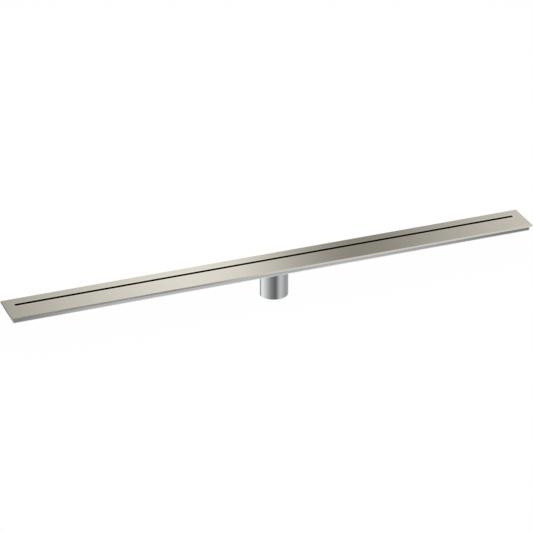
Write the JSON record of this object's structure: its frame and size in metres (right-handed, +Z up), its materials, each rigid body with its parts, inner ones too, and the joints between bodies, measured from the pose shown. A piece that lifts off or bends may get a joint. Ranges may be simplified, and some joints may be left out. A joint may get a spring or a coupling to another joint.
{
  "type": "linear shower drain",
  "caption": "Long shower channel with an off-centre slot in a brushed cover, a shallow folded trough and a vertical outlet spigot.",
  "frame": {"origin": "middle of the outlet spigot's lower end", "axes": "+X along the drain, +Y to the back where the slot is, +Z up"},
  "size_m": [1, 0.07, 0.0633],
  "materials": {
    "cover_steel": "fine brushed along the length, warm satin",
    "trough_steel": "satin mill finish, cool grey",
    "end_steel": "satin mill finish with ground weld edges",
    "spigot_steel": "satin drawn tube",
    "bridge_steel": "plain mill finish",
    "strainer_steel": "pressed satin",
    "bumper_rubber": "matt black"
  },
  "bodies": {
    "root": {"cover_plate": "cover_steel", "trough": "trough_steel", "left_end_plate": "end_steel", "right_end_plate": "end_steel", "outlet_spigot": "spigot_steel", "strainer_basket": "strainer_steel", "strainer_handle": "strainer_steel", "slot_bridge_1": "bridge_steel", "slot_bridge_2": "bridge_steel", "slot_bridge_3": "bridge_steel", "slot_bridge_4": "bridge_steel", "slot_bridge_5": "bridge_steel", "slot_bridge_6": "bridge_steel", "bumper_front_1": "bumper_rubber", "bumper_front_2": "bumper_rubber", "bumper_front_3": "bumper_rubber", "bumper_front_4": "bumper_rubber", "bumper_front_5": "bumper_rubber", "bumper_front_6": "bumper_rubber", "bumper_back_1": "bumper_rubber", "bumper_back_2": "bumper_rubber", "bumper_back_3": "bumper_rubber", "bumper_back_4": "bumper_rubber", "bumper_back_5": "bumper_rubber", "bumper_back_6": "bumper_rubber"}
  },
  "joints": []
}
